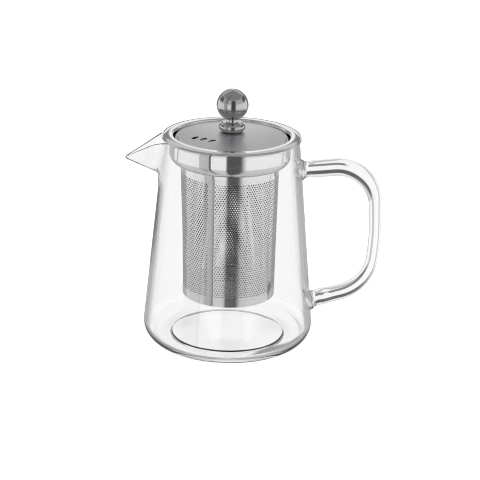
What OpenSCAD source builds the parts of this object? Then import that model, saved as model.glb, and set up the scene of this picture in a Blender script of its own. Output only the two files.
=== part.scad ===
// Glass teapot with a lift-out steel strainer and a domed steel lid.
// Millimetres, +Z up. The origin is the centre of the foot ring, on the surface the pot stands on.
// The handle points along +X and the beak along -X.

/* [Glass pot] */
// Outer diameter at the widest point, just above the rounded bottom edge
pot_d = 100; // [92:0.5:112]
// Outer diameter of the mouth
mouth_d = 78.2; // [74:0.2:84]
// Height from the table to the rim
pot_h = 124; // [118:0.5:135]
// Thickness of the blown wall
glass_t = 2; // [1.6:0.1:2.4]
// Thickness of the floor
floor_t = 3; // [2.4:0.1:4]
// Radius of the rounded bottom edge outside
bottom_round = 11; // [8:0.5:13]
// Radius of the rounded bottom edge inside
inner_round = 8; // [5:0.5:10]
// Radius of the fire-polished edges of the rim
lip_round = 0.7; // [0.4:0.05:0.75]

/* [Pushed-up floor] */
// Diameter of the pushed-up disc, which is also the inner edge of the foot ring
punt_d = 66.8; // [56:0.2:70]
// Height of the disc's underside at its middle
punt_h = 2.6; // [1.8:0.1:4]
// Height of the step at the disc's edge
punt_step = 0.8; // [0.4:0.1:1.2]

/* [Beak] */
// Distance from the pot's axis to the tip
beak_reach = 61.2; // [56:0.2:66]
// How far the middle of the tip lies below the rim
beak_drop = 12; // [8:0.5:15]
// Width of the beak where it leaves the rim
beak_w = 18.8; // [14:0.2:24]
// Depth of the beak where it leaves the wall
beak_depth = 24.1; // [20:0.5:28]
// Radius of the rounded keel
keel_round = 3.2; // [2.4:0.1:3.8]
// Radius of the rounded tip
tip_round = 1.5; // [1.2:0.1:1.9]

/* [Handle] */
// Distance from the pot's axis to the middle of the grip at its farthest
handle_reach = 86.4; // [82:0.2:96]
// Height of the upper joint's centre
handle_top = 103.8; // [98:0.2:107]
// Height of the lower joint's centre
handle_low = 22.6; // [20:0.2:30]
// Rise of the upper arm from the wall to its corner
upper_rise = 3.4; // [0:0.2:6]
// Rise of the lower arm from the wall to its corner
lower_rise = 9.2; // [4:0.2:12]
// Inward lean of the grip at its two corners
grip_lean = 2.5; // [1:0.1:4]
// Bend radius at the upper corner
upper_bend = 23; // [16:0.5:25]
// Bend radius at the lower corner
lower_bend = 25; // [16:0.5:26]
// Bend radius of the bowed grip
grip_bend = 140; // [80:5:150]
// Rod diameter on the upper arm
upper_rod_d = 10.2; // [8.6:0.1:11]
// Rod diameter at the middle of the grip, where the glass is drawn thinner
grip_rod_d = 7; // [6.4:0.1:9]
// Rod diameter on the lower arm
lower_rod_d = 9.3; // [8:0.1:10.4]
// How much wider than the rod each fused joint is, all round
pad_swell = 1.7; // [1:0.1:2.4]
// Length over which a joint's fillet runs out along the rod
pad_run = 4.2; // [3:0.1:5.5]

/* [Infuser collar] */
// How far the flange reaches past the mouth
flange_over = 0.8; // [0.4:0.1:1.4]
// Thickness of the flange with its rolled edge
flange_t = 1.2; // [1:0.1:1.6]
// Gap between the collar's wall and the inside of the mouth
mouth_gap = 3; // [2:0.1:4]
// Radius of the bend between the flange and the collar's wall
flange_bend = 1.2; // [0.9:0.1:1.6]
// Thickness of the collar's sheet
collar_t = 0.5; // [0.4:0.05:0.7]
// Depth of the collar's straight wall below the rim
collar_depth = 10.2; // [9:0.1:13]
// Radius of the rounded shoulder under the wall
shoulder_r = 5.6; // [4.5:0.1:6.6]
// Height of the neck that holds the strainer
neck_h = 1.4; // [1:0.1:2.5]

/* [Strainer] */
// Length of the strainer tube below the shoulder
tube_len = 79.8; // [60:0.2:86]
// Thickness of the perforated sheet
tube_t = 0.5; // [0.4:0.05:0.7]
// How much smaller the tube is in diameter at its foot than at its head
tube_taper = 1.4; // [0:0.1:3]
// Plain band at the head of the tube
head_band = 5; // [3:0.1:8]
// Plain band at the foot of the tube
foot_band = 4.9; // [4:0.1:8]
// Width of the plain strip along the welded seam
seam_w = 3.5; // [2:0.1:6]
// Direction of the seam round the tube, in degrees
seam_turn = 243; // [200:1:280]
// Width of a diamond hole in the strainer, corner to corner
hole_d = 3.2; // [2.4:0.1:3.6]
// Holes in one full row round the tube
holes_round = 20; // [14:1:24]
// Rows of holes up the tube
hole_rows = 8; // [5:1:9]
// Depth of the base's turned-up rim
base_rim_h = 2.2; // [1.6:0.1:4]
// Rings of holes in the strainer's base
base_rings = 3; // [1:1:3]

/* [Lid] */
// Gap between the lid and the collar's wall
lid_gap = 0.4; // [0.3:0.05:0.7]
// Thickness of the lid's sheet
lid_t = 0.6; // [0.5:0.05:0.8]
// How far the lid's outer edge lies below the top of the flange
lid_sink = 2.6; // [1.8:0.1:3.4]
// Rise of the dome from its edge to the flat seat of the knob
dome_rise = 4.3; // [3:0.1:6]
// Radius of the rounded edge of the dome
lid_round = 1.6; // [1.2:0.1:2]
// Depth of the lid's turned-down edge
lid_lip = 1.6; // [1:0.1:2.4]
// Gap between the skirt's lower edge and the collar's shoulder
seat_gap = 0.3; // [0.2:0.05:0.5]
// Diameter of a vent hole
vent_d = 3.4; // [2:0.1:4]
// Number of vent holes in the row
vent_count = 3; // [1:1:4]
// Spacing of the vent holes
vent_pitch = 6; // [5:0.1:7]
// Distance from the lid's centre to the middle of the row
vent_out = 21; // [18:0.5:22]
// Direction of the row's middle from the lid's centre, in degrees
vent_turn = 216; // [180:1:250]
// Turn of the row against the rim, in degrees
vent_slant = 14; // [0:1:20]

/* [Knob] */
// Diameter of the ball
ball_d = 18.4; // [15:0.1:21]
// Diameter of the knob's foot at its widest
foot_d = 15.4; // [13:0.1:17]
// Height of the foot's round bead
bead_h = 5.8; // [5:0.1:6.6]
// Height of the foot with its neck
foot_h = 7.4; // [6.8:0.1:9]
// Diameter of the foot's flat underside
foot_seat_d = 11; // [9.5:0.1:12]
// Diameter of the neck between the foot and the ball
knob_neck_d = 7.2; // [6.4:0.1:8]
// Thread diameter of the screw
screw_d = 4; // [3:0.5:4.5]
// Length of the screw's shank above its head
screw_len = 14; // [12:0.5:17]
// Diameter of the screw's head
screw_head_d = 8; // [7:0.1:9]
// Height of the screw's head
screw_head_h = 2.2; // [1.6:0.1:2.8]
// Diameter of the washer
washer_d = 10; // [9.2:0.1:11]
// Thickness of the washer
washer_t = 0.8; // [0.5:0.1:1.2]
// Clearance round the screw's shank
screw_gap = 0.05; // [0.05:0.01:0.1]

/* [Hidden] */

// Sides that stand for a circle: turned forms, small bores, sheet edges, and the beak's tip and channel
fine = 96;
bore_sides = 32;
edge_sides = 48;
tip_sides = 24;
channel_sides = 16;
// Steps of the arcs in the glass's section and along the handle
edge_steps = 12;
inner_steps = 10;
lip_steps = 4;
punt_steps = 8;
keel_steps = 10;
corner_steps = 12;
grip_steps = 8;
// Overlap that joins two shapes, and how far a cut runs past what it cuts
eps = 0.01;
overrun = 1;

// Glass pot
pot_r = pot_d / 2;
mouth_r = mouth_d / 2;
bottom_c = [pot_r - bottom_round, bottom_round];
inner_c = [pot_r - glass_t - inner_round, floor_t + inner_round];
outer_touch = tangent_point(bottom_c, bottom_round, [mouth_r, pot_h - lip_round]);
inner_touch = tangent_point(inner_c, inner_round, [mouth_r - glass_t, pot_h - lip_round]);

// Pushed-up floor: the radius of the sphere that its underside follows
punt_r = punt_d / 2;
punt_bow = punt_h - punt_step;
punt_sphere = (punt_r * punt_r + punt_bow * punt_bow) / (2 * punt_bow);

// Beak, from a root section just inside the mouth's outer edge
root_x = sqrt(mouth_r * mouth_r - beak_w * beak_w / 4);
tip_x = beak_reach - tip_round;
tip_z = pot_h - beak_drop;
keel_z = pot_h - beak_depth;
channel_w = beak_w - 2 * glass_t;
channel_in = 2 * glass_t;
channel_tip_r = 0.5;
channel_tip_x = tip_x - tip_round + channel_tip_r;
channel_rise = 4;
root_t = 0.2;

// Handle: the path's corners as [distance from the axis, height], and its bends
handle_start = wall_r(handle_top) - glass_t / 2;
handle_end = wall_r(handle_low) - glass_t / 2;
corner_r = handle_reach - grip_lean;
grip_z = (handle_top + handle_low) / 2;
handle_path = concat(
    [[handle_start, handle_top]],
    bend([handle_start, handle_top], [corner_r, handle_top + upper_rise],
         [handle_reach, grip_z], upper_bend, corner_steps),
    bend([corner_r, handle_top + upper_rise], [handle_reach, grip_z],
         [corner_r, handle_low + lower_rise], grip_bend, grip_steps),
    bend([handle_reach, grip_z], [corner_r, handle_low + lower_rise],
         [handle_end, handle_low], lower_bend, corner_steps),
    [[handle_end, handle_low]]);
handle_len = run(handle_path, len(handle_path) - 1);
handle_rings = 50;
handle_sides = 20;
// Distance at which the path's direction is read
look = 0.1;
// The joints' fillets have rings closer together: their share of the rings at each end
joint_rings = 9;
joint_len = glass_t / 2 + pad_run;
// Shares of the rod's length at which its diameter starts and stops changing
draw_from = 0.26;
draw_thin = 0.44;
draw_thick = 0.66;
draw_to = 0.86;

// Infuser
flange_r = mouth_r + flange_over;
flange_top = pot_h + flange_t;
collar_r = mouth_r - glass_t - mouth_gap;
collar_in = collar_r - collar_t;
shoulder_z = pot_h - collar_depth;
neck_r = collar_r - shoulder_r;
tube_r = neck_r - collar_t;
tube_top = shoulder_z - shoulder_r + collar_t;
tube_foot = tube_top - tube_len;
perforated_h = tube_len - head_band - foot_band;
row_pitch = perforated_h / hole_rows;
hole_turn = 360 / holes_round;
seam_half = asin(((seam_w + hole_d) / 2) / tube_r);
base_ring_pitch = (tube_r - tube_taper / 2 - tube_t - hole_d) / (base_rings + 0.5);
holes_per_ring = 6;
drill_len = 4;

// Lid
lid_r = collar_in - lid_gap;
lid_edge = flange_top - lid_sink;
dome_r = lid_r - lid_round;
dome_edge = lid_edge + lid_round;
knob_seat = lid_edge + dome_rise;
seat_margin = 0.5;
seat_r = foot_seat_d / 2 + seat_margin;
dome_bow = knob_seat - dome_edge;
dome_deep = (dome_r * dome_r - seat_r * seat_r + dome_bow * dome_bow) / (2 * dome_bow);
dome_c = knob_seat - dome_deep;
dome_sphere_r = norm([seat_r, dome_deep]);
lid_drill = 12;
skirt_r = lid_r - lid_t;
skirt_foot = shoulder_z - sqrt(pow(shoulder_r - collar_t, 2) - pow(skirt_r - neck_r, 2)) + seat_gap;

// Knob
ball_r = ball_d / 2;
foot_top = knob_seat + foot_h;
ball_z = foot_top + sqrt(ball_r * ball_r - knob_neck_d * knob_neck_d / 4);
screw_r = screw_d / 2;
screw_z = knob_seat - lid_t - washer_t;
slot_w = 1;
slot_depth = 1;
slot_len = 0.6 * screw_head_d;

// Where a line from point p touches the outer side of a circle round c
function tangent_point(c, r, p) =
    let (a = rise(c, p) - acos(r / norm(p - c)))
    c + r * [cos(a), sin(a)];

// Direction from c to p, in degrees
function rise(c, p) = atan2(p[1] - c[1], p[0] - c[0]);

// Points of an arc round c, from direction a to b
function arc(c, r, a, b, n) = [for (i = [0:n]) let (t = a + (b - a) * i / n) c + r * [cos(t), sin(t)]];

// Outer radius of the straight wall at height z
function wall_r(z) =
    outer_touch[0]
    + (mouth_r - outer_touch[0]) * (z - outer_touch[1]) / (pot_h - lip_round - outer_touch[1]);

// Radius of the strainer's outside at height z
function strainer_r(z) = tube_r - tube_taper / 2 * (tube_top - z) / tube_len;

// Points of an arc of radius r that rounds the corner q between p and s
function bend(p, q, s, r, n) =
    let (u = (p - q) / norm(p - q), v = (s - q) / norm(s - q),
         half = acos(u * v) / 2, m = (u + v) / norm(u + v), c = q + m * r / sin(half),
         from = q + u * r / tan(half), to = q + v * r / tan(half),
         a = rise(c, from), b = rise(c, to),
         turn = b - a > 180 ? b - a - 360 : b - a < -180 ? b - a + 360 : b - a)
    arc(c, r, a, a + turn, n);

// Length of a path from its first point to point i
function run(path, i) = i == 0 ? 0 : run(path, i - 1) + norm(path[i] - path[i - 1]);

// Point of a path at distance s along it
function along(path, s, i = 0) =
    let (step = norm(path[i + 1] - path[i]))
    s <= step || i == len(path) - 2 ? path[i] + (path[i + 1] - path[i]) * s / step
                                    : along(path, s - step, i + 1);

// Smooth step from 0 to 1 between two values
function ease(a, b, x) = let (t = min(1, max(0, (x - a) / (b - a)))) t * t * (3 - 2 * t);

// Radius of the rod at distance s along its path, with the fillets of its two joints
function rod_r(s) =
    let (share = s / handle_len,
         d = upper_rod_d + (grip_rod_d - upper_rod_d) * ease(draw_from, draw_thin, share)
                         + (lower_rod_d - grip_rod_d) * ease(draw_thick, draw_to, share),
         end = max(0, min(s, handle_len - s) - glass_t / 2))
    d / 2 + pad_swell * pow(1 - min(1, end / pad_run), 2);

// Distance along the path of ring i, closer together in the two joints
function ring_at(i) =
    let (last = handle_rings - 1, mid = last - 2 * joint_rings)
    i <= joint_rings ? joint_len * i / joint_rings
    : i >= last - joint_rings ? handle_len - joint_len * (last - i) / joint_rings
    : joint_len + (handle_len - 2 * joint_len) * (i - joint_rings) / mid;

// Section of the beak as a vee with a rounded keel, seen along the beak
function vee(w, top, low, r) =
    let (half = atan((w / 2 - r) / (top - low - r)))
    concat([[w / 2, top]],
           [for (a = [-half:-(180 - 2 * half) / keel_steps:-180 + half])
               [r * cos(a), low + r + r * sin(a)]],
           [[-w / 2, top]]);

// Solid of the pot's outer form
module pot_outer() {
    rotate_extrude($fn = fine)
        polygon(concat([[0, 0]], arc(bottom_c, bottom_round, -90, rise(bottom_c, outer_touch), edge_steps),
                       arc([mouth_r - lip_round, pot_h - lip_round], lip_round, 0, 90, lip_steps),
                       [[0, pot_h]]));
}

// Solid of the space inside the pot, open at the top
module pot_inside() {
    difference() {
        rotate_extrude($fn = fine)
            polygon(concat([[0, floor_t]],
                           arc(inner_c, inner_round, -90, rise(inner_c, inner_touch), inner_steps),
                           [[mouth_r - glass_t, pot_h - lip_round],
                            [mouth_r - glass_t + lip_round / 2, pot_h + eps], [0, pot_h + eps]]));
        punt(floor_t);
    }
}

// Solid under the pushed-up disc's bowed skin, raised by t from its underside
module punt(t) {
    middle = [0, punt_h - punt_sphere];
    rotate_extrude($fn = fine)
        polygon(concat([[0, t - overrun], [punt_r, t - overrun]],
                       [for (q = arc(middle, punt_sphere, rise(middle, [punt_r, punt_step]), 90, punt_steps))
                           q + [0, t]]));
}

// A thin upright slab with the beak's section, at distance x from the axis
module beak_slab(x, w, top, low, r) {
    translate([-x, 0, 0]) rotate([90, 0, 90]) linear_extrude(root_t) polygon(vee(w, top, low, r));
}

module beak_outer() {
    hull() {
        beak_slab(root_x, beak_w, pot_h, keel_z, keel_round);
        translate([-tip_x, 0, tip_z]) sphere(r = tip_round, $fn = tip_sides);
    }
}

module beak_channel() {
    hull() {
        beak_slab(root_x - channel_in, channel_w + glass_t, pot_h + channel_rise,
                  keel_z + glass_t / 2, keel_round - glass_t / 2);
        for (up = [0, channel_rise])
            translate([-channel_tip_x, 0, tip_z + channel_tip_r + up])
                sphere(r = channel_tip_r, $fn = channel_sides);
    }
}

module glass_body() {
    color([0.86, 0.92, 0.92, 0.35]) difference() {
        union() {
            pot_outer();
            beak_outer();
        }
        pot_inside();
        punt(0);
        beak_channel();
    }
}

// The rod, swept along its path as rings of points
module handle_rod() {
    stations = [for (i = [0:handle_rings - 1]) ring_at(i)];
    points = [for (s = stations)
        let (p = along(handle_path, s), ahead = along(handle_path, min(handle_len, s + look)),
             behind = along(handle_path, max(0, s - look)), t = (ahead - behind) / norm(ahead - behind),
             side = [-t[1], t[0]])
        for (k = [0:handle_sides - 1])
            let (a = 360 * k / handle_sides, q = p + side * rod_r(s) * cos(a))
            [q[0], rod_r(s) * sin(a), q[1]]];
    sides = [for (i = [0:handle_rings - 2], k = [0:handle_sides - 1])
        let (a = i * handle_sides + k, b = i * handle_sides + (k + 1) % handle_sides)
        [a, a + handle_sides, b + handle_sides, b]];
    first = [for (k = [0:handle_sides - 1]) k];
    last = [for (k = [handle_sides - 1:-1:0]) (handle_rings - 1) * handle_sides + k];
    polyhedron(points, concat([first], sides, [last]));
}

module glass_handle() {
    color([0.86, 0.92, 0.92, 0.35]) difference() {
        handle_rod();
        pot_outer();
    }
}

// Quarter of a round sheet bend, outer radius r, bent from the right side down to the bottom
module quarter_bend(r, t) {
    intersection() {
        difference() {
            circle(r = r);
            circle(r = r - t);
        }
        translate([0, -r]) square([r, r]);
    }
}

module infuser_collar() {
    color([0.82, 0.82, 0.83]) rotate_extrude($fn = fine) {
        // flange with its rolled edge
        translate([collar_in + flange_bend, pot_h])
            square([flange_r - flange_t / 2 - collar_in - flange_bend, flange_t]);
        translate([flange_r - flange_t / 2, pot_h + flange_t / 2]) circle(r = flange_t / 2, $fn = bore_sides);
        // bend from the flange into the wall
        difference() {
            translate([collar_in, flange_top - flange_bend - eps])
                square([flange_bend + eps, flange_bend + eps]);
            translate([collar_in + flange_bend, flange_top - flange_bend])
                mirror([1, 0]) difference() {
                    square([flange_bend + overrun, flange_bend + overrun]);
                    circle(r = flange_bend);
                }
        }
        // straight wall
        translate([collar_in, shoulder_z]) square([collar_t, flange_top - flange_bend - shoulder_z]);
        // rounded shoulder and the neck that holds the strainer
        translate([neck_r, shoulder_z]) quarter_bend(shoulder_r, collar_t);
        translate([tube_r, tube_top - collar_t - neck_h]) square([collar_t, neck_h + collar_t]);
    }
}

// One row of holes through the tube at height z, clear of the seam
module hole_row(z, turn) {
    for (k = [0:holes_round - 1])
        let (a = turn + k * hole_turn, off = abs((a - seam_turn + 540) % 360 - 180))
        if (off > seam_half)
            rotate([0, 0, a]) translate([tube_r - drill_len / 2, 0, z])
                rotate([0, 90, 0]) cylinder(d = hole_d, h = drill_len, $fn = 4);
}

module strainer_tube() {
    color([0.70, 0.70, 0.71]) difference() {
        rotate_extrude($fn = fine)
            polygon([[strainer_r(tube_foot) - tube_t, tube_foot], [strainer_r(tube_foot), tube_foot],
                     [tube_r, tube_top], [tube_r - tube_t, tube_top]]);
        for (row = [0:hole_rows - 1])
            hole_row(tube_foot + foot_band + (row + 0.5) * row_pitch, row % 2 * hole_turn / 2);
    }
}

module strainer_base() {
    rim_top = tube_foot + base_rim_h;
    color([0.74, 0.74, 0.75]) difference() {
        rotate_extrude($fn = fine) {
            polygon([[0, tube_foot], [strainer_r(tube_foot) - tube_t, tube_foot],
                     [strainer_r(rim_top) - tube_t, rim_top],
                     [strainer_r(rim_top) - 2 * tube_t, rim_top],
                     [strainer_r(tube_foot) - 2 * tube_t, tube_foot + tube_t], [0, tube_foot + tube_t]]);
        }
        translate([0, 0, tube_foot - drill_len / 2]) {
            cylinder(d = hole_d, h = drill_len, $fn = 4);
            for (ring = [1:base_rings], k = [0:holes_per_ring * ring - 1])
                rotate([0, 0, k * 360 / (holes_per_ring * ring)])
                    translate([ring * base_ring_pitch, 0, 0]) cylinder(d = hole_d, h = drill_len, $fn = 4);
        }
    }
}

// Solid under the dome's skin at depth t, reaching down to height low
module dome_solid(t, low) {
    rotate_extrude($fn = fine) {
        intersection() {
            translate([0, dome_c]) circle(r = dome_sphere_r - t, $fn = 2 * fine);
            translate([0, lid_edge]) square([dome_r, knob_seat - t - lid_edge]);
        }
        translate([dome_r, lid_edge]) circle(r = lid_round - t, $fn = edge_sides);
        translate([0, low]) square([dome_r, dome_edge - t - low]);
        translate([0, low]) square([lid_r - t, lid_edge - low]);
    }
}

module lid_dome() {
    color([0.66, 0.66, 0.67]) difference() {
        dome_solid(0, lid_edge - lid_lip);
        dome_solid(lid_t, lid_edge - lid_lip - overrun);
        translate([0, 0, knob_seat - lid_drill / 2])
            cylinder(r = screw_r + screw_gap, h = lid_drill, $fn = bore_sides);
        rotate([0, 0, vent_turn]) translate([vent_out, 0, knob_seat - lid_drill / 2])
            rotate([0, 0, 90 + vent_slant])
                for (k = [0:vent_count - 1])
                    translate([(k - (vent_count - 1) / 2) * vent_pitch, 0, 0])
                        cylinder(d = vent_d, h = lid_drill, $fn = bore_sides);
    }
}

module lid_skirt() {
    color([0.78, 0.78, 0.79]) rotate_extrude($fn = fine)
        translate([skirt_r - collar_t, skirt_foot]) square([collar_t, lid_edge - skirt_foot]);
}

// Foot of the knob, a squashed bead with a flat underside
module knob_foot() {
    color([0.80, 0.80, 0.81]) difference() {
        rotate_extrude($fn = fine) {
            translate([0, knob_seat]) square([foot_seat_d / 2, bead_h / 2]);
            translate([0, knob_seat]) square([knob_neck_d / 2, foot_h]);
            translate([foot_d / 2 - bead_h / 2, knob_seat + bead_h / 2]) circle(r = bead_h / 2);
            translate([0, knob_seat]) square([foot_d / 2 - bead_h / 2, bead_h]);
        }
        translate([0, 0, knob_seat - overrun])
            cylinder(r = screw_r + screw_gap, h = foot_h + 2 * overrun, $fn = bore_sides);
    }
}

module knob_ball() {
    color([0.84, 0.84, 0.85]) difference() {
        intersection() {
            translate([0, 0, ball_z]) sphere(r = ball_r, $fn = fine);
            translate([0, 0, foot_top]) cylinder(r = ball_r + overrun, h = ball_d);
        }
        translate([0, 0, foot_top - overrun])
            cylinder(r = screw_r + screw_gap, h = screw_z + screw_len - foot_top + 2 * overrun,
                     $fn = bore_sides);
    }
}

module knob_screw() {
    color([0.60, 0.60, 0.61]) difference() {
        union() {
            translate([0, 0, screw_z]) cylinder(r = screw_r, h = screw_len, $fn = bore_sides);
            translate([0, 0, screw_z - screw_head_h])
                cylinder(d = screw_head_d, h = screw_head_h, $fn = edge_sides);
        }
        for (turn = [0, 90])
            rotate([0, 0, turn]) translate([0, 0, screw_z - screw_head_h])
                cube([slot_len, slot_w, 2 * slot_depth], center = true);
    }
}

module knob_washer() {
    color([0.72, 0.72, 0.73]) translate([0, 0, screw_z]) difference() {
        cylinder(d = washer_d, h = washer_t, $fn = edge_sides);
        translate([0, 0, -overrun])
            cylinder(r = screw_r + screw_gap, h = washer_t + 2 * overrun, $fn = bore_sides);
    }
}

glass_body();
glass_handle();
infuser_collar();
strainer_tube();
strainer_base();
lid_dome();
lid_skirt();
knob_foot();
knob_ball();
knob_screw();
knob_washer();
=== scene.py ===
import math

import bmesh
import bpy
from mathutils import Matrix, Vector


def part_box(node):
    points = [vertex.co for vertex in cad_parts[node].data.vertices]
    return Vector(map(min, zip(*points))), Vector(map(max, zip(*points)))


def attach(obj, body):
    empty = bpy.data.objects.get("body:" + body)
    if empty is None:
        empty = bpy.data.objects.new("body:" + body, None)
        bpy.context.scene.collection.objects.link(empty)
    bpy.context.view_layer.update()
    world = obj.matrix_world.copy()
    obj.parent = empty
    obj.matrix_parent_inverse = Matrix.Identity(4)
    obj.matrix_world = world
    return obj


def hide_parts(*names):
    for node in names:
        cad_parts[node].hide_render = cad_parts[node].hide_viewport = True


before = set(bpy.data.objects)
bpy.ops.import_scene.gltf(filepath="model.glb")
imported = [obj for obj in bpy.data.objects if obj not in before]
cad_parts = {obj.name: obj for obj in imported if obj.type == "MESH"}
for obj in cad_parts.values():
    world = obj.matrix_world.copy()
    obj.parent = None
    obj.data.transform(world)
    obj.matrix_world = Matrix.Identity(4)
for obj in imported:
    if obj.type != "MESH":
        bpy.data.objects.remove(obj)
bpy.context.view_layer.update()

# Everything is worked out in millimetres and brought to metres when a piece is finished.
MM = 0.001

# Sizes of the pot, as in the part's source
POT_R = 50.0
MOUTH_R = 39.1
POT_H = 124.0
WALL = 2.0
FLOOR = 3.0
BOTTOM_ROUND = 11.0
INNER_ROUND = 8.0
PUNT_R = 33.4
PUNT_H = 2.6
PUNT_STEP = 0.8

# The step of the disc's edge under the floor: (out from PUNT_R, height)
FOOT_STEP = [(-0.3, PUNT_STEP + 0.12), (-0.12, 0.7), (0.0, 0.3), (0.12, 0.06), (0.4, 0.0)]
# The same step on the floor's upper side: (out from PUNT_R, height over the floor)
FLOOR_STEP = [(0.8, 0.0), (0.3, 0.1), (0.0, 0.35), (-0.2, 0.65), (-0.5, 0.9)]

# Collar: a flange that hangs on the rim, a straight wall, a rounded shoulder and a short neck
SHEET = 0.5
FLANGE_R = 39.9
FLANGE_T = 1.2
FLANGE_TOP = POT_H + FLANGE_T
FLANGE_EDGE = 0.45
CREST_R = 35.6
CROWN_R = 10.5
INNER_BEND = 1.2
UNDER_BEND = 2.4
COLLAR_R = 34.1
COLLAR_IN = COLLAR_R - SHEET
SHOULDER_Z = 113.8
SHOULDER_R = 5.6
NECK_R = COLLAR_R - SHOULDER_R
NECK_FOOT = 107.2

# Strainer tube: two perforated halves between a plain head, a plain foot and a seam
TUBE_R = 27.8
TUBE_TOP = 108.7
TUBE_LEN = 79.8
TUBE_FOOT = TUBE_TOP - TUBE_LEN
TUBE_TAPER = 0.7
HEAD_BAND = 4.4
FOOT_BAND = 4.4
SEAM_W = 3.5
SEAM_TURN = 243.0
SEAM_PROUD = 0.06
SEAM_T = 0.6
PANEL_T = 0.4
# The real holes are 1.2 mm apart; they are drawn a quarter coarser, so that they still show
HOLE_PITCH = 1.5
ROW_PITCH = 1.3
HOLE_HALF = 0.58

# Strainer base: a perforated disc in a ring with a turned-up rim
BASE_PITCH = 1.6
BASE_ROW = 1.4
BASE_HALF = 0.48
BASE_EDGE = 1.2
# Section of the ring: (in from the tube's inner side, height over the tube's foot)
BASE_RIM = [(3.2, 0.0), (0.8, 0.0), (0.15, 0.25), (0.03, 0.9), (0.03, 3.2),
            (0.5, 3.2), (0.5, 1.0), (0.9, 0.5), (3.2, 0.5)]

# Lid: a dome that turns down into a lip, three vents in a slanted row, and a skirt inside
LID_R = 32.85
LID_T = 0.6
LID_EDGE = 122.6
LID_ROUND = 2.0
LID_LIP = 1.6
DOME_EDGE = 124.2
# Width of the band round the lid's edge that takes the lighter, smoother flange steel: partly a
# polished finish, partly a painted highlight
PAINTED_HIGHLIGHT_RIM = 0.8 * LID_ROUND
SKIRT_R = LID_R - LID_T
VENT_R = 1.7
VENT_LONG, VENT_NARROW = 1.4, 0.92
VENT_PITCH = 6.0
VENT_OUT = 21.0
VENT_TURN = 216.0
VENT_SLANT = 14.0

# Knob: a ball on the neck of a turned bead
KNOB_SEAT = 126.9
BALL_R = 9.2
FOOT_D = 15.4
BEAD_H = 5.8
FOOT_H = 7.4
FOOT_SEAT_R = 5.5
NECK_D = 7.2
# Between faces that would otherwise lie on each other
HAIR = 0.02


# ---------------------------------------------------------------- mesh helpers

def arc(cx, cz, r, start, end, steps):
    """Points (r, z) of an arc, angles in degrees."""
    return [(cx + r * math.cos(math.radians(start + (end - start) * i / steps)),
             cz + r * math.sin(math.radians(start + (end - start) * i / steps)))
            for i in range(steps + 1)]


def line(a, b, steps):
    """Points after a up to b."""
    return [(a[0] + (b[0] - a[0]) * i / steps, a[1] + (b[1] - a[1]) * i / steps)
            for i in range(1, steps + 1)]


def eased(a, b, x):
    """0 below a, 1 above b, smooth between."""
    t = min(1.0, max(0.0, (x - a) / (b - a)))
    return t * t * (3 - 2 * t)


def turned(section, steps, closed=False):
    """A turned or spun form: the section, as (r, z) points, spun round the Z axis."""
    bm = bmesh.new()
    verts = [bm.verts.new((r, 0, z)) for r, z in section]
    edges = [bm.edges.new(pair) for pair in zip(verts, verts[1:])]
    if closed:
        edges.append(bm.edges.new((verts[-1], verts[0])))
    bmesh.ops.spin(bm, geom=verts + edges, axis=(0, 0, 1), cent=(0, 0, 0),
                   angle=math.tau, steps=steps, use_merge=True)
    bmesh.ops.remove_doubles(bm, verts=bm.verts, dist=0.001)
    bmesh.ops.recalc_face_normals(bm, faces=bm.faces)
    return bm


def piece(name, bm, body, material, nodes=(), sharp=35):
    """Finish a piece: to metres, smooth with sharp edges kept, on its body."""
    bmesh.ops.scale(bm, vec=(MM, MM, MM), verts=bm.verts)
    mesh = bpy.data.meshes.new(name)
    bm.to_mesh(mesh)
    bm.free()
    mesh.shade_smooth()
    mesh.set_sharp_from_angle(angle=math.radians(sharp))
    mesh.materials.append(material)
    obj = bpy.data.objects.new(name, mesh)
    bpy.context.scene.collection.objects.link(obj)
    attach(obj, body)
    if nodes:
        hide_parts(*nodes)
    return obj


# ---------------------------------------------------------------- materials

def linear(hex_colour):
    """An sRGB hex colour as linear RGBA."""
    parts = [int(hex_colour[i:i + 2], 16) / 255 for i in (0, 2, 4)]
    return [c / 12.92 if c <= 0.04045 else ((c + 0.055) / 1.055) ** 2.4 for c in parts] + [1.0]


def add(tree, kind, inputs=None, **settings):
    """Add a node, set it, and set or link its inputs."""
    node = tree.nodes.new(kind)
    for key, value in settings.items():
        setattr(node, key, value)
    for key, value in (inputs or {}).items():
        if isinstance(value, bpy.types.NodeSocket):
            tree.links.new(value, node.inputs[key])
        else:
            node.inputs[key].default_value = value
    return node


def new_material(name):
    material = bpy.data.materials.new(name)
    material.use_nodes = True
    tree = material.node_tree
    tree.nodes.clear()
    return material, tree


def borosilicate_glass():
    """Borosilicate glass, blown and fire-polished: clear and without colour, dark only where it
    is seen along its wall, with faint waves in its skin, about 20 mm long."""
    material, tree = new_material("borosilicate_glass")
    where = add(tree, "ShaderNodeTexCoord").outputs["Object"]
    waves = add(tree, "ShaderNodeTexNoise", {"Vector": where, "Scale": 45.0, "Detail": 1.0})
    bump = add(tree, "ShaderNodeBump", {"Height": waves.outputs["Fac"], "Strength": 0.05,
                                        "Distance": 0.001})
    tint = add(tree, "ShaderNodeMix", {"Factor": waves.outputs["Fac"], "A": linear("fcfcfc"),
                                       "B": linear("fefefe")}, data_type="RGBA")
    shader = add(tree, "ShaderNodeBsdfPrincipled", {
        "Base Color": tint.outputs["Result"], "Roughness": 0.0, "IOR": 1.47,
        "Transmission Weight": 1.0, "Normal": bump.outputs["Normal"]})
    add(tree, "ShaderNodeOutputMaterial", {"Surface": shader.outputs["BSDF"]})
    return material


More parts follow.
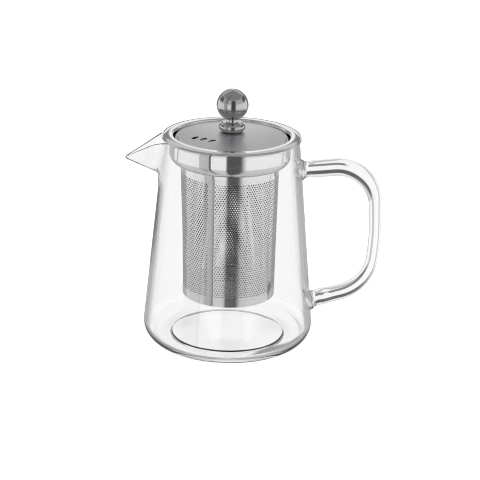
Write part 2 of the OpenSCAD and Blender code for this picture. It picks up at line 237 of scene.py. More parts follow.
def steel(name, light, dark, smooth, rough, grain_scale, bump_strength, turned_on_lathe=False):
    """18/8 stainless steel. The grain is stretched along the way the surface was worked: its
    scale says how many grains lie in a metre each way, so 1500 makes them 0.7 mm wide. The real
    grain is finer than can show, and is drawn as coarse as it needs to be."""
    material, tree = new_material(name)
    where = add(tree, "ShaderNodeTexCoord").outputs["Object"]
    if turned_on_lathe:
        parts = add(tree, "ShaderNodeSeparateXYZ", {"Vector": where}).outputs
        flat = add(tree, "ShaderNodeCombineXYZ", {"X": parts["X"], "Y": parts["Y"]})
        out = add(tree, "ShaderNodeVectorMath", {0: flat.outputs["Vector"]}, operation="LENGTH")
        ring = add(tree, "ShaderNodeCombineXYZ", {"X": out.outputs["Value"], "Z": parts["Z"]})
        where = ring.outputs["Vector"]
    stretched = add(tree, "ShaderNodeMapping", {"Vector": where, "Scale": grain_scale})
    grain = add(tree, "ShaderNodeTexNoise", {"Vector": stretched.outputs["Vector"],
                                             "Scale": 1.0, "Detail": 3.0, "Roughness": 0.6})
    colour = add(tree, "ShaderNodeMix", {"Factor": grain.outputs["Fac"], "A": linear(light),
                                         "B": linear(dark)}, data_type="RGBA")
    gloss = add(tree, "ShaderNodeMapRange", {"Value": grain.outputs["Fac"],
                                             "To Min": smooth, "To Max": rough})
    bump = add(tree, "ShaderNodeBump", {"Height": grain.outputs["Fac"],
                                        "Strength": bump_strength, "Distance": 0.0001})
    shader = add(tree, "ShaderNodeBsdfPrincipled", {
        "Base Color": colour.outputs["Result"], "Metallic": 1.0,
        "Roughness": gloss.outputs["Result"], "Normal": bump.outputs["Normal"]})
    add(tree, "ShaderNodeOutputMaterial", {"Surface": shader.outputs["BSDF"]})
    return material


GLASS = borosilicate_glass()
# Stainless steel, pressed and then satin-brushed on the lathe: a soft, even grey in fine rings
SATIN = steel("satin_steel_lid", "e2e2e3", "d0d0d2", 0.34, 0.46, (1500, 1, 1), 0.12, True)
# Stainless steel, pressed and fine-turned: bright, with blurred reflections drawn out into rings
FLANGE = steel("turned_steel_flange", "f0f0f1", "dcdcde", 0.1, 0.2, (1500, 1, 1), 0.08, True)
# Bright-rolled stainless sheet, pressed: almost a mirror, so it shows the room in sharp streaks
COLLAR = steel("bright_rolled_steel", "f2f2f3", "e8e8ea", 0.03, 0.06, (60, 60, 2500), 0.03)
# Perforated stainless sheet, rolled to a tube: bright, with a little blur
MESH = steel("perforated_steel_sheet", "f2f2f3", "e0e0e2", 0.1, 0.17, (60, 60, 1500), 0.05)
# Stainless steel, turned and mirror-polished: sharp reflections, a shade darker than the sheet
MIRROR = steel("mirror_polished_steel", "c8c8ca", "bebec0", 0.02, 0.04, (400, 400, 400), 0.01)
# Stainless steel, rougher, with a dark colour that is painted shade: the tube's inner side and the
# lid's underside, dark and dull behind the holes
SHADE_PAINTED_STEEL = steel("steel_inner_side_painted_shade", "3c3c3e", "303032", 0.45, 0.6, (60, 60, 1500), 0.05)
# Stainless steel, plain turned: the fine grooves of the tool, and a low sheen
PLAIN = steel("turned_plain_steel", "b0b0b2", "98989a", 0.25, 0.4, (60, 60, 4000), 0.1)


# ---------------------------------------------------------------- glass pot

def wall_touch():
    """Where the straight wall leaves the rounded bottom edge, outside: angle in degrees."""
    cx, cz = POT_R - BOTTOM_ROUND, BOTTOM_ROUND
    dx, dz = MOUTH_R - cx, POT_H - cz
    return math.degrees(math.atan2(dz, dx) - math.acos(BOTTOM_ROUND / math.hypot(dx, dz)))


TOUCH = wall_touch()
WALL_FOOT = arc(POT_R - BOTTOM_ROUND, BOTTOM_ROUND, BOTTOM_ROUND, TOUCH, TOUCH, 1)[0]


def wall_r(z):
    """Outer radius of the straight wall at height z."""
    return WALL_FOOT[0] + (MOUTH_R - WALL_FOOT[0]) * (z - WALL_FOOT[1]) / (POT_H - WALL_FOOT[1])


def punt(z_edge, z_mid, reach, steps):
    """The bowed disc from its middle out to its edge."""
    return [(reach * i / steps, z_mid - (z_mid - z_edge) * (i / steps) ** 2)
            for i in range(steps + 1)]


def pot_section():
    """The pot's section, from the middle of its underside out, up, over the rim and back."""
    lip = WALL / 2
    lip_z = POT_H - lip
    under = punt(PUNT_STEP + 0.2, PUNT_H, PUNT_R - 0.7, 12)
    step = [(PUNT_R + out, z) for out, z in FOOT_STEP]
    outside = arc(POT_R - BOTTOM_ROUND, BOTTOM_ROUND, BOTTOM_ROUND, -90, TOUCH, 20)
    low_wall = line(outside[-1], (wall_r(BEAK_LOW), BEAK_LOW), 12)
    high_wall = line((wall_r(BEAK_LOW), BEAK_LOW), (wall_r(lip_z), lip_z), 60)
    rim = arc(MOUTH_R - lip, lip_z, lip, 12, 168, 8)
    inside = arc(POT_R - WALL - INNER_ROUND, FLOOR + INNER_ROUND, INNER_ROUND, TOUCH, -90, 16)
    top_r, (foot_r, foot_z) = MOUTH_R - WALL, inside[0]
    low_r = top_r + (foot_r - top_r) * (lip_z - BEAK_LOW) / (lip_z - foot_z)
    inner_wall = (line((top_r, lip_z), (low_r, BEAK_LOW), 60)
                  + line((low_r, BEAK_LOW), inside[0], 12))
    floor_top = punt(PUNT_STEP + FLOOR + 0.25, PUNT_H + FLOOR, PUNT_R - 0.9, 12)
    floor_step = [(PUNT_R + out, FLOOR + z) for out, z in FLOOR_STEP]
    return (under + step + outside + low_wall + high_wall + rim + [(top_r, lip_z)]
            + inner_wall + inside[1:] + floor_step + floor_top[::-1])


# The beak is drawn out of the rim: its reach and drop at the middle, the half width and the
# roundness of its outline where it leaves the rim, the roundness of its tip, and how far from
# the middle plane its outline begins to fade and has faded out
BEAK_OUT = 22.1
BEAK_DOWN = 11.8
BEAK_W = 6.0
BEAK_FLARE = 4.5
BEAK_TIP = 2.0
BEAK_FADE, BEAK_HALF = 9.0, 20.0
# How much later the drop starts than the reach, and what makes up for it at the middle
DROP_LATE, DROP_GAIN = 1.8, 1.08
# The wall is left alone below the first height, and follows the beak in full above the second
BEAK_LOW, BEAK_FULL = 92.0, 100.0
# How far below the rim the keel meets the pot, how far out from the middle plane the hollow
# reaches, how shallow it may become, and how round the keel is
BEAK_DEPTH = 22.2
BEAK_REACH = 17.0
BEAK_SHALLOW = 1.2
KEEL_SOFT = 0.16
# The drawn glass is thinner on its inner side: by this share of the wall, fading from the middle
# plane outwards and from the rim downwards
BEAK_THIN = 0.56
THIN_FROM, THIN_TO = 12.0, 30.0
THIN_LOW, THIN_HIGH = 46.0, 108.0


def outline(side):
    """Outward pull of the rim at this distance from the middle plane, before it is scaled."""
    left = BEAK_W - math.hypot(side, BEAK_TIP)
    return (left + math.hypot(left, BEAK_FLARE)) / 2


def drawn(side):
    """Outward and downward pull of the rim at this distance from the middle plane."""
    out = BEAK_OUT * outline(side) / outline(0) * (1 - eased(BEAK_FADE, BEAK_HALF, side))
    return out, BEAK_DOWN * DROP_GAIN * out / BEAK_OUT * out / (out + DROP_LATE)


def beak_depth(side):
    """How far below the rim the beak's wall meets the pot, this far from the middle plane."""
    full = math.hypot(1, KEEL_SOFT) - KEEL_SOFT
    vee = (math.hypot(side / BEAK_REACH, KEEL_SOFT) - KEEL_SOFT) / full
    return max(BEAK_SHALLOW, BEAK_DEPTH * (1 - vee))


def pulled(turn, z):
    """Point of the wall's outside at this turn from -X and height, with the beak drawn out."""
    r = wall_r(z)
    side = MOUTH_R * math.sin(abs(turn))
    out, down = drawn(side)
    t = 1 - (POT_H - z) / beak_depth(side)
    # the pull begins sharply at the keel and softly beside it
    soft = 0.002 + 0.3 * eased(1.5, 7.0, side)
    fall = (t + math.sqrt(t * t + soft)) / (1 + math.sqrt(1 + soft))
    # the tip is blunt: the last of the keel turns straight up
    blunt = 1 - eased(0.5, 4.0, side)
    short = 1 - fall * (1 + 0.075 * blunt)
    fall = 1 - (short + math.sqrt(short * short + 0.0006 * blunt)) / 2
    fall *= eased(BEAK_LOW, BEAK_FULL, z)
    return Vector((-r * math.cos(turn) - out * fall, r * math.sin(turn), z - down * fall))


def draw_beak(bm):
    """Move the wall and the rim, outside and inside, along with the beak."""
    step_turn, step_z = 0.016, 0.6
    moved = []
    for v in bm.verts:
        z = v.co.z
        turn = math.atan2(v.co.y, -v.co.x)
        side = MOUTH_R * math.sin(abs(turn))
        if z < THIN_LOW or side > THIN_TO or v.co.x > 0:
            continue
        depth = wall_r(z) - math.hypot(v.co.x, v.co.y)
        thinner = (1 - eased(THIN_FROM, THIN_TO, side)) * eased(THIN_LOW, THIN_HIGH, z)
        depth *= 1 - BEAK_THIN * thinner
        at = pulled(turn, z)
        across = pulled(turn + step_turn, z) - pulled(turn - step_turn, z)
        up = pulled(turn, z + step_z) - pulled(turn, z - step_z)
        normal = up.cross(across).normalized()
        if normal.x > 0.5:
            normal.negate()
        new = at - normal * depth
        # near the keel the inner side stays on its own side of the middle plane
        if abs(at.y) < depth + 1.2:
            keep = abs(at.y) * 0.25
            if new.y * at.y > 0:
                keep = max(keep, abs(new.y))
            new.y = math.copysign(keep, at.y) if abs(at.y) > 1e-6 else 0.0
        moved.append((v, new, side))
    for v, new, _ in moved:
        v.co = new
    # worked smooth, most of all where the beak's sides flow into the wall
    whole = [v for v, _, _ in moved if v.co.z > 95]
    flare = [v for v, _, side in moved if side > 1.8 and 97 < v.co.z < 119]
    for verts, rounds in ((whole, 2), (flare, 14)):
        for _ in range(rounds):
            bmesh.ops.smooth_vert(bm, verts=verts, factor=0.5,
                                  use_axis_x=True, use_axis_y=True, use_axis_z=True)


def glass_pot():
    bm = turned(pot_section(), 360)
    draw_beak(bm)
    bmesh.ops.recalc_face_normals(bm, faces=bm.faces)
    return piece("pot_glass", bm, "pot", GLASS, ["glass_body"], sharp=180)


# ---------------------------------------------------------------- handle

def rounded_corner(p, q, s, r, steps):
    """Points of an arc of radius r that rounds the corner q between p and s."""
    p, q, s = Vector(p), Vector(q), Vector(s)
    u, v = (p - q).normalized(), (s - q).normalized()
    half = u.angle(v) / 2
    centre = q + (u + v).normalized() * r / math.sin(half)
    first, last = q + u * r / math.tan(half) - centre, q + v * r / math.tan(half) - centre
    turn = first.angle_signed(last)
    return [centre + Matrix.Rotation(-turn * i / steps, 2) @ first for i in range(steps + 1)]


# Heights of the joints, how far the corners lie over them, the reach of the grip's middle and of
# the corners, and how far the rod's ends go into the wall
HANDLE_TOP, HANDLE_LOW = 103.8, 22.6
TOP_RISE, LOW_RISE = 3.4, 9.2
GRIP_X, CORNER_X = 86.4, 83.9
EMBED = 1.2
# Radii of the upper corner, the bowed grip and the lower corner
TOP_BEND, GRIP_BOW, LOW_BEND = 23, 140, 25
# The rod's thickness at the upper joint, how much slimmer it gets on its way to the grip, and
# how much thicker again on its way to the lower joint
ROD_D = 10.2
ROD_SLIMS = 3.2
ROD_SWELLS = 2.3


def handle_path():
    """The rod's middle line in the XZ plane, from the upper joint round to the lower one."""
    start = (wall_r(HANDLE_TOP) - EMBED, HANDLE_TOP)
    end = (wall_r(HANDLE_LOW) - EMBED, HANDLE_LOW)
    top = (CORNER_X, HANDLE_TOP + TOP_RISE)
    mid = (GRIP_X, (HANDLE_TOP + HANDLE_LOW) / 2)
    low = (CORNER_X, HANDLE_LOW + LOW_RISE)
    points = [Vector(start)]
    points += rounded_corner(start, top, mid, TOP_BEND, 24)
    points += rounded_corner(top, mid, low, GRIP_BOW, 16)
    points += rounded_corner(mid, low, end, LOW_BEND, 24)
    points.append(Vector(end))
    return points


def resampled(points, stations):
    """Points of a path at these distances along it, and its whole length."""
    lengths = [0.0]
    for a, b in zip(points, points[1:]):
        lengths.append(lengths[-1] + (b - a).length)
    found = []
    for s in stations:
        i = max(k for k in range(len(points) - 1) if lengths[k] <= s or k == 0)
        t = (s - lengths[i]) / max(1e-9, lengths[i + 1] - lengths[i])
        found.append(points[i].lerp(points[i + 1], t))
    return found, lengths[-1]


# Radius of a fused joint at these distances from the wall
WELD = [(-2.0, 6.5), (0.0, 6.4), (0.6, 6.1), (1.2, 5.6),
        (2.0, 5.1), (3.0, 4.8), (4.5, 4.75), (7.0, 5.0)]
# Sections close to each end, at these distances along the rod, and how many lie between them
NEAR_ENDS = [0.0, 0.6, 1.2, 1.8, 2.4, 3.0, 3.8, 4.6, 5.6, 6.8, 8.2, 10.0]
BETWEEN = 90


def weld_r(reach, rod):
    """Radius at this distance from the wall: the joint's, then eased into the rod's own."""
    for (a, ra), (b, rb) in zip(WELD, WELD[1:]):
        if reach <= b:
            return ra + (rb - ra) * max(0.0, (reach - a) / (b - a))
    return WELD[-1][1] + (rod - WELD[-1][1]) * eased(7.0, 14.0, reach)


def glass_handle():
    path = handle_path()
    _, total = resampled(path, [0.0])
    last = NEAR_ENDS[-1]
    middle = [last + (total - 2 * last) * i / BETWEEN for i in range(1, BETWEEN)]
    stations = NEAR_ENDS + middle + [total - s for s in reversed(NEAR_ENDS)]
    centres, _ = resampled(path, stations)
    ahead, _ = resampled(path, [min(total, s + 1.5) for s in stations])
    behind, _ = resampled(path, [max(0.0, s - 1.5) for s in stations])
    bm = bmesh.new()
    ring = None
    for s, c, a, b in zip(stations, centres, ahead, behind):
        share = s / total
        rod = ROD_D - ROD_SLIMS * eased(0.26, 0.44, share) + ROD_SWELLS * eased(0.66, 0.86, share)
        r = weld_r(min(s, total - s) - EMBED, rod / 2)
        t = (a - b).normalized()
        along = Vector((t.x, 0, t.y))
        side = Vector((t.y, 0, -t.x))
        turn = Matrix((side, Vector((0, 1, 0)), along)).transposed().to_4x4()
        place = Matrix.Translation((c.x, 0, c.y)) @ turn
        if ring is None:
            ring = bmesh.ops.create_circle(bm, cap_ends=True, segments=40, radius=1)["verts"]
            base = [Vector(v.co) for v in ring]
        else:
            edges = list({e for v in ring for e in v.link_edges
                          if e.other_vert(v) in ring})
            new = bmesh.ops.extrude_edge_only(bm, edges=edges)["geom"]
            made = [g for g in new if isinstance(g, bmesh.types.BMVert)]
            order = {}
            for v in made:
                order[min(range(len(base)), key=lambda k: (v.co - ring[k].co).length)] = v
            ring = [order[k] for k in range(len(base))]
        for v, q in zip(ring, base):
            v.co = place @ (q * r)
    bmesh.ops.contextual_create(bm, geom=ring)
    bmesh.ops.recalc_face_normals(bm, faces=bm.faces)
    return piece("handle_glass", bm, "pot", GLASS, ["glass_handle"], sharp=60)


# ---------------------------------------------------------------- infuser

def infuser_collar():
    outside = (
        # underside of the flange, from its rolled edge in, and down the outside of the wall
        arc(COLLAR_R + UNDER_BEND, POT_H - UNDER_BEND, UNDER_BEND, 90, 180, 12)
        + line((COLLAR_R, POT_H - UNDER_BEND), (COLLAR_R, SHOULDER_Z), 4)[:-1]
        + arc(NECK_R, SHOULDER_Z, SHOULDER_R, 0, -90, 16)
        + [(NECK_R, NECK_FOOT)])
    inside = (
        # up the inside of the neck and the wall, and over the crest of the flange
        [(NECK_R - SHEET, NECK_FOOT), (NECK_R - SHEET, SHOULDER_Z - SHOULDER_R + SHEET)]
        + arc(NECK_R, SHOULDER_Z, SHOULDER_R - SHEET, -90, 0, 16)
        + line((COLLAR_IN, SHOULDER_Z), (COLLAR_IN, FLANGE_TOP - INNER_BEND), 4)[:-1]
        + arc(COLLAR_IN + INNER_BEND, FLANGE_TOP - INNER_BEND, INNER_BEND, 180, 100, 8)
        + arc(CREST_R, FLANGE_TOP - CROWN_R, CROWN_R, 90, 62, 14))
    edge = arc(FLANGE_R - FLANGE_T / 2, POT_H + FLANGE_EDGE, FLANGE_EDGE, 45, -90, 10)
    bm = turned(outside + inside + edge, 192, closed=True)
    for f in bm.faces:
        if f.calc_center_median().z > POT_H + 0.1 and f.normal.z > 0.3:
            f.material_index = 1
    obj = piece("infuser_collar_steel", bm, "infuser", COLLAR,
                ["infuser_collar"], sharp=40)
    obj.data.materials.append(FLANGE)
    return obj


def perforated_sheet(width, height, pitch, row, half, thickness):
    """A flat sheet of staggered holes over (0..width, 0..height), with its thickness."""
    bm = bmesh.new()
    count = int(width / pitch + height / (2 * row)) + 6
    bmesh.ops.create_grid(bm, x_segments=count, y_segments=count, size=count / 2)
    # a grid on its point has its cells staggered from row to row
    bmesh.ops.rotate(bm, verts=bm.verts, cent=(0, 0, 0),
                     matrix=Matrix.Rotation(math.radians(45), 3, "Z"))
    bmesh.ops.scale(bm, vec=(pitch / math.sqrt(2), 2 * row / math.sqrt(2), 1), verts=bm.verts)
    bmesh.ops.translate(bm, vec=(width / 2, height / 2, 0), verts=bm.verts)
    for at, normal in (((0, 0, 0), (-1, 0, 0)), ((width, 0, 0), (1, 0, 0)),
                       ((0, 0, 0), (0, -1, 0)), ((0, height, 0), (0, 1, 0))):
        bmesh.ops.bisect_plane(bm, geom=bm.verts[:] + bm.edges[:] + bm.faces[:], plane_co=at,
                               plane_no=normal, clear_outer=True, dist=0.0001)
    # cells that the edges cut stay plain
    whole = pitch * row * 0.98
    cells = [f for f in bm.faces if len(f.verts) == 4 and f.calc_area() > whole]
    bmesh.ops.inset_individual(bm, faces=cells, thickness=0.1)
    for f in cells:
        c = f.calc_center_median()
        for v in f.verts:
            d = v.co - c
            if abs(d.x) > abs(d.y) * pitch / (2 * row):
                v.co = c + Vector((math.copysign(half, d.x), 0, 0))
            else:
                v.co = c + Vector((0, math.copysign(half, d.y), 0))
    bmesh.ops.delete(bm, geom=cells, context="FACES_ONLY")
    bmesh.ops.solidify(bm, geom=bm.faces[:], thickness=thickness)
    return bm


def tube_radius(z):
    """Outer radius of the tube at this height: it narrows a little to its foot."""
    return TUBE_R - TUBE_TAPER * (TUBE_TOP - z) / TUBE_LEN


def strainer_panel(name, start, sweep, nodes):
    """Half of the perforated tube, from this direction over this sweep, in degrees."""
    height = TUBE_LEN - HEAD_BAND - FOOT_BAND
    width = math.radians(sweep) * TUBE_R
    bm = perforated_sheet(width, height, HOLE_PITCH, ROW_PITCH, HOLE_HALF, PANEL_T)
    low = min(v.co.z for v in bm.verts)
    for v in bm.verts:
        z = TUBE_FOOT + FOOT_BAND + v.co.y
        r = tube_radius(z) - 0.05 - PANEL_T + (v.co.z - low)
        turn = math.radians(start) + v.co.x / TUBE_R
        v.co = (r * math.cos(turn), r * math.sin(turn), z)
    bmesh.ops.recalc_face_normals(bm, faces=bm.faces)
    # faces on the tube's inner side take the darkened steel: painted shade
    for f in bm.faces:
        c = f.calc_center_median()
        if f.normal.x * c.x + f.normal.y * c.y < -0.5 * math.hypot(c.x, c.y):
            f.material_index = 1
    obj = piece(name, bm, "infuser", MESH, nodes, sharp=40)
    obj.data.materials.append(SHADE_PAINTED_STEEL)
    return obj


def band(low, high):
    """Section of a plain band of the tube between two heights."""
    return [(tube_radius(low) - SHEET, low), (tube_radius(low), low), (tube_radius(high), high),
            (tube_radius(high) - SHEET, high)]


def strainer_bands():
    """The plain head and foot of the tube, and the strip along its seam, a hair proud of it."""
    bm = turned(band(TUBE_TOP - HEAD_BAND, TUBE_TOP), 160, closed=True)
    foot = turned(band(TUBE_FOOT, TUBE_FOOT + FOOT_BAND), 160, closed=True)
    join(bm, foot)
    seam = bmesh.new()
    low, high = TUBE_FOOT + FOOT_BAND - 0.5, TUBE_TOP - HEAD_BAND + 0.5
    half = math.degrees(SEAM_W / 2 / TUBE_R)
    verts = []
    for z in (low, high):
        r = tube_radius(z) + SEAM_PROUD
        row = [seam.verts.new((q * math.cos(math.radians(SEAM_TURN + k * half)),
                               q * math.sin(math.radians(SEAM_TURN + k * half)), z))
               for q in (r, r - SEAM_T) for k in (-1, 0, 1)]
        verts.append([row[0], row[1], row[2], row[5], row[4], row[3]])
    for k in range(6):
        seam.faces.new((verts[0][k], verts[0][(k + 1) % 6], verts[1][(k + 1) % 6], verts[1][k]))
    seam.faces.new(verts[0][::-1])
    seam.faces.new(verts[1])
    bmesh.ops.recalc_face_normals(seam, faces=seam.faces)
    join(bm, seam)
    return piece("strainer_bands", bm, "infuser", MESH, sharp=40)


def join(bm, other):
    """Add another bmesh to this one."""
    mesh = bpy.data.meshes.new("joining")
    other.to_mesh(mesh)
    other.free()
    bm.from_mesh(mesh)
    bpy.data.meshes.remove(mesh)


def strainer_base():
    inner = tube_radius(TUBE_FOOT) - SHEET
    size = 2 * inner
    bm = perforated_sheet(size, size, BASE_PITCH, BASE_ROW, BASE_HALF, PANEL_T)
    low = min(v.co.z for v in bm.verts)
    bmesh.ops.translate(bm, vec=(-inner, -inner, TUBE_FOOT + 0.05 - low), verts=bm.verts)
    outer = [f for f in bm.faces if math.hypot(*f.calc_center_median().xy) > inner - BASE_EDGE]
    bmesh.ops.delete(bm, geom=outer, context="FACES")
    rim = [(inner - inward, TUBE_FOOT + z) for inward, z in BASE_RIM]
    join(bm, turned(rim, 128, closed=True))
    return piece("strainer_base_steel", bm, "infuser", MESH,
                 ["strainer_base"], sharp=30)


# ---------------------------------------------------------------- lid and knob

def dome_line(depth):
    """The dome's line at this depth under its skin, from the middle out and down to the lip."""
    edge_r = LID_R - LID_ROUND
    seat = FOOT_SEAT_R + 0.5
    bow = KNOB_SEAT - DOME_EDGE
    deep = (edge_r ** 2 - seat ** 2 + bow ** 2) / (2 * bow)
    radius = math.hypot(seat, deep)
    # flat under the knob, a shallow sphere round it, and a rounded edge
    points = [(0.0, KNOB_SEAT - depth), (seat / 2, KNOB_SEAT - depth)]
    steps = 30
    for i in range(steps + 1):
        r = seat + (edge_r - 0.4 - seat) * i / steps
        points.append((r, KNOB_SEAT - deep + math.sqrt(radius ** 2 - r ** 2) - depth))
    points += arc(edge_r, DOME_EDGE - LID_ROUND, LID_ROUND - depth, 78, 0, 12)
    points.append((LID_R - depth, LID_EDGE - LID_LIP))
    return points


def vent_drill(materials):
    """Three short rods that cut the vents, longest away from the knob."""
    bm = bmesh.new()
    turn = math.radians(VENT_TURN)
    across = turn + math.radians(90 + VENT_SLANT)
    centre = Vector((VENT_OUT * math.cos(turn), VENT_OUT * math.sin(turn), KNOB_SEAT - 2))
    shape = Matrix.Rotation(turn, 4, "Z") @ Matrix.Diagonal((VENT_LONG, VENT_NARROW, 1, 1))
    for k in (-1, 0, 1):
        at = centre + Vector((math.cos(across), math.sin(across), 0)) * VENT_PITCH * k
        bmesh.ops.create_cone(bm, cap_ends=True, segments=32, radius1=VENT_R, radius2=VENT_R,
                              depth=8, matrix=Matrix.Translation(at) @ shape)
    bmesh.ops.scale(bm, vec=(MM, MM, MM), verts=bm.verts)
    for f in bm.faces:
        f.material_index = 2
    mesh = bpy.data.meshes.new("vents")
    bm.to_mesh(mesh)
    bm.free()
    for material in materials:
        mesh.materials.append(material)
    drill = bpy.data.objects.new("vents", mesh)
    bpy.context.scene.collection.objects.link(drill)
    return drill


def lid_dome():
    sharp = 35
    bm = turned(dome_line(0) + dome_line(LID_T)[::-1], 180)
    # satin on top; round the edge the lighter, smoother flange steel, partly a painted highlight;
    # underneath the darkened steel, which is painted shade
    for f in bm.faces:
        if math.hypot(*f.calc_center_median().xy) > LID_R - PAINTED_HIGHLIGHT_RIM:
            f.material_index = 1
        elif f.normal.z < -0.2:
            f.material_index = 2
    obj = piece("lid_dome_steel", bm, "lid", SATIN, ["lid_dome"], sharp)
    obj.data.materials.append(FLANGE)
    obj.data.materials.append(SHADE_PAINTED_STEEL)
    drill = vent_drill(obj.data.materials)
    cut = obj.modifiers.new("vents", "BOOLEAN")
    cut.object, cut.operation, cut.solver = drill, "DIFFERENCE", "EXACT"
    evaluated = obj.evaluated_get(bpy.context.evaluated_depsgraph_get())
    finished = bpy.data.meshes.new_from_object(evaluated)
    obj.modifiers.clear()
    obj.data = finished
    finished.name = obj.name
    finished.shade_smooth()
    finished.set_sharp_from_angle(angle=math.radians(sharp))
    bpy.data.objects.remove(drill)
    return obj


def lid_skirt():
    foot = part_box("lid_skirt")[0].z / MM
    inner = SKIRT_R - SHEET
    section = [(inner, foot), (SKIRT_R, foot), (SKIRT_R, LID_EDGE), (inner, LID_EDGE)]
    return piece("lid_skirt_steel", turned(section, 160, closed=True), "lid",
                 COLLAR, ["lid_skirt"])


def knob():
    neck = NECK_D / 2
    bead = BEAD_H / 2
    bead_top = KNOB_SEAT + BEAD_H
    foot_top = KNOB_SEAT + FOOT_H
    section = ([(0, KNOB_SEAT + HAIR), (FOOT_SEAT_R, KNOB_SEAT + HAIR)]
               + arc(FOOT_D / 2 - bead, KNOB_SEAT + bead, bead, -78, 80, 20)
               + [(neck + 0.3, bead_top - 0.1), (neck, bead_top + 0.3),
                  (neck, foot_top), (0, foot_top)])
    piece("knob_bead", turned(section, 128), "lid", MIRROR,
          ["knob_foot"], sharp=50)
    # the ball is cut off flat where it stands on the neck
    ball_z = foot_top + math.sqrt(BALL_R ** 2 - neck ** 2)
    start = -math.degrees(math.acos(neck / BALL_R))
    ball = [(0, foot_top + HAIR)] + arc(0, ball_z, BALL_R, start, 90, 64)
    piece("knob_ball_steel", turned(ball, 160), "lid", MIRROR,
          ["knob_ball"], sharp=50)


glass_pot()
glass_handle()
infuser_collar()
seam_half = math.degrees(SEAM_W / 2 / TUBE_R)
half_sweep = (360 - 2 * seam_half) / 2
strainer_panel("strainer_front", SEAM_TURN + seam_half, half_sweep, ["strainer_tube"])
strainer_panel("strainer_back", SEAM_TURN + seam_half + half_sweep, half_sweep, ())
strainer_bands()
strainer_base()
lid_dome()
lid_skirt()
knob()
# the screw and the washer are the source's own solids
for name in ("knob_screw", "knob_washer"):
    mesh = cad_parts[name].data
    mesh.materials.clear()
    mesh.materials.append(PLAIN)


# ---------------------------------------------------------------- floor, light and camera

def floor():
    """A white table that runs on into the backdrop; steel and glass show the studio instead."""
    bm = bmesh.new()
    bmesh.ops.create_circle(bm, cap_ends=True, segments=64, radius=4.0)
    mesh = bpy.data.meshes.new("floor")
    bm.to_mesh(mesh)
    bm.free()
    obj = bpy.data.objects.new("floor", mesh)
    bpy.context.scene.collection.objects.link(obj)
    # matt and without gloss, and glowing a little, so that it is white right up to the pot
    material, tree = new_material("white_sweep")
    shader = add(tree, "ShaderNodeBsdfPrincipled", {
        "Base Color": linear("aaaaaa"), "Roughness": 0.8, "Specular IOR Level": 0.0,
        "Emission Color": linear("ffffff"), "Emission Strength": 0.85})
    add(tree, "ShaderNodeOutputMaterial", {"Surface": shader.outputs["BSDF"]})
    mesh.materials.append(material)
    obj.visible_glossy = False
    obj.visible_transmission = False


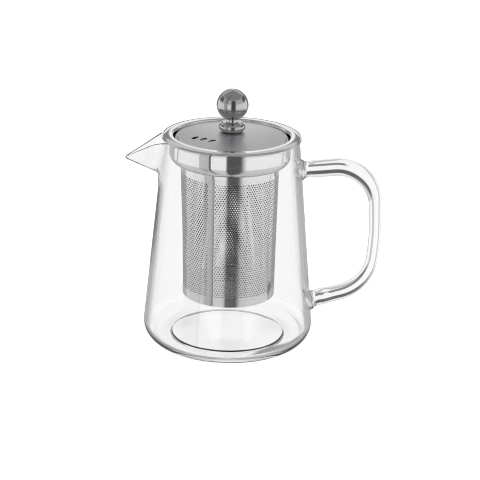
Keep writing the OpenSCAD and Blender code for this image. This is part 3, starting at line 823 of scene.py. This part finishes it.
def studio():
    """A white room: a dark gap in front of the pot, a darker ceiling, and flags beside the
    backdrop. Angles are in degrees, and brightness goes from 0, black, to 1, white."""
    world = bpy.data.worlds.new("studio")
    bpy.context.scene.world = world
    world.use_nodes = True
    world.cycles.sampling_method = "NONE"
    tree = world.node_tree
    tree.nodes.clear()

    def calc(operation, a, b=0.0):
        return add(tree, "ShaderNodeMath", {0: a, 1: b}, operation=operation).outputs[0]

    def step(value, low, high):
        """0 below low, 1 above high, smooth between."""
        return add(tree, "ShaderNodeMapRange", {"Value": value, "From Min": low, "From Max": high},
                   interpolation_type="SMOOTHSTEP", clamp=True).outputs["Result"]

    def between(value, low, high, soft):
        """1 between low and high, 0 outside, with soft ends."""
        return calc("MULTIPLY", step(value, low - soft, low + soft),
                    calc("SUBTRACT", 1.0, step(value, high - soft, high + soft)))

    def blend(factor, a, b):
        """a where the factor is 0, b where it is 1."""
        return calc("ADD", calc("MULTIPLY", a, calc("SUBTRACT", 1.0, factor)),
                    calc("MULTIPLY", b, factor))

    # azimuth: 0 in front and 90 on the handle's side; height: over the horizon;
    # away: from the front, both ways; behind: from the backdrop's middle, both ways
    direction = add(tree, "ShaderNodeTexCoord").outputs["Generated"]
    parts = add(tree, "ShaderNodeSeparateXYZ", {"Vector": direction})
    x, y, z = parts.outputs
    degrees = 180 / math.pi
    azimuth = calc("MULTIPLY", calc("ARCTAN2", x, calc("MULTIPLY", y, -1.0)), degrees)
    height = calc("MULTIPLY", calc("ARCSINE", z), degrees)

    # what metal and glass mirror: a white table, side cards that fade upwards, a grey ceiling
    away = calc("ABSOLUTE", azimuth)
    behind = calc("ABSOLUTE", calc("SUBTRACT", 180.0, calc("ABSOLUTE", calc("ADD", azimuth, 5.0))))
    mirrored = blend(step(height, -24, -18), 0.66, 1.0)
    mirrored = blend(step(height, 2, 20), mirrored, 0.6)
    mirrored = blend(step(height, 37, 44), mirrored, 0.33)
    corners = calc("MULTIPLY", between(away, 84, 124, 6), between(height, 12, 36, 5))
    mirrored = blend(calc("MULTIPLY", corners, 0.85), mirrored, 0.08)
    # the dark gap in front, sharp on its left and soft on its right
    gap = calc("MULTIPLY", step(azimuth, -16, -11), calc("SUBTRACT", 1.0, step(azimuth, 12, 27)))
    gap = calc("MULTIPLY", gap, calc("SUBTRACT", 1.0, step(height, 36, 42)))
    mirrored = blend(gap, mirrored, 0.1)
    # behind: a strip light between two flags, over and under a bright horizon
    inner_horizon = calc("MULTIPLY", between(height, -13, 12, 2),
                         calc("SUBTRACT", 1.0, step(behind, 22, 30)))
    outside = calc("SUBTRACT", 1.0, inner_horizon)
    flags = calc("MULTIPLY", between(behind, 5, 50, 1.5),
                 calc("SUBTRACT", 1.0, step(height, 50, 60)))
    flags = calc("MULTIPLY", flags, outside)
    shade = blend(step(height, 19, 25), 0.2, 0.62)
    shade = blend(step(height, -17, -11), 0.4, shade)
    mirrored = blend(calc("MULTIPLY", flags, 0.9), mirrored, shade)
    strip = calc("MULTIPLY", calc("SUBTRACT", 1.0, step(behind, 2.5, 4.5)),
                 between(height, 12, 36, 4))
    mirrored = blend(strip, mirrored, 1.0)
    # a grey card on the left, with a black edge
    side_card = between(azimuth, -68, -47, 1.5)
    mirrored = blend(calc("MULTIPLY", side_card, 0.6), mirrored, 0.3)
    card_edge = between(azimuth, -48, -43.5, 0.5)
    mirrored = blend(calc("MULTIPLY", card_edge, 0.95), mirrored, 0.03)

    # what is seen through the glass: the white table with a grey band in every eighth of the
    # turn, a dark patch low at the back right, a dark horizon and light above it
    eighth = calc("MODULO", calc("ADD", azimuth, 382.5), 45.0)
    eighth = calc("ABSOLUTE", calc("SUBTRACT", eighth, 22.5))
    bands = step(eighth, 13.5, 18)
    seen = blend(calc("MULTIPLY", bands, 0.5), 1.0, 0.15)
    near = calc("MULTIPLY", between(height, -37, -26, 1.5), between(azimuth, 150, 172.2, 0.7))
    seen = blend(calc("MULTIPLY", near, 0.85), seen, 0.12)
    seen = blend(step(height, 12, 18), seen, 0.85)
    horizon = calc("MULTIPLY", between(height, -8, 13, 2.5),
                   blend(step(behind, 14, 34), 0.95, 0.35))
    seen = blend(horizon, seen, 0.08)

    light = add(tree, "ShaderNodeLightPath").outputs
    reflected = calc("MINIMUM", light["Glossy Depth"], 1.0)
    scattered = calc("MINIMUM", light["Diffuse Depth"], 1.0)
    value = blend(reflected, seen, mirrored)
    value = blend(scattered, value, 1.0)
    value = blend(light["Is Camera Ray"], value, 1.0)
    background = add(tree, "ShaderNodeBackground", {"Color": value})
    add(tree, "ShaderNodeOutputWorld", {"Surface": background.outputs["Background"]})


def camera():
    """Standing a little above the rim, as the pot is seen on a table."""
    distance = 0.9214
    turn = Matrix.Rotation(math.radians(-5.0), 4, "Z")
    target = Vector((6.25, 0, 60.77)) * MM
    rise = math.radians(19.74)
    away = Vector((0, -math.cos(rise), math.sin(rise))) * distance
    data = bpy.data.cameras.new("camera")
    data.lens = 117.5
    data.sensor_width = 36.0
    data.clip_start = 0.01
    obj = bpy.data.objects.new("camera", data)
    bpy.context.scene.collection.objects.link(obj)
    facing = (-away).to_track_quat("-Z", "Y").to_matrix().to_4x4()
    roll = Matrix.Rotation(math.radians(1.5), 4, "Z")
    obj.matrix_world = turn @ Matrix.Translation(target + away) @ facing @ roll
    bpy.context.scene.camera = obj


floor()
studio()
camera()

# light goes through many walls of glass, one behind the other, so it needs many bounces
scene = bpy.context.scene
scene.view_settings.view_transform = "Standard"
scene.cycles.use_adaptive_sampling = False
scene.cycles.filter_width = 1.1
scene.cycles.use_denoising = True
scene.cycles.denoising_input_passes = "RGB_ALBEDO_NORMAL"
scene.cycles.denoising_prefilter = "ACCURATE"
scene.cycles.max_bounces = 24
scene.cycles.transmission_bounces = 24
scene.cycles.glossy_bounces = 8
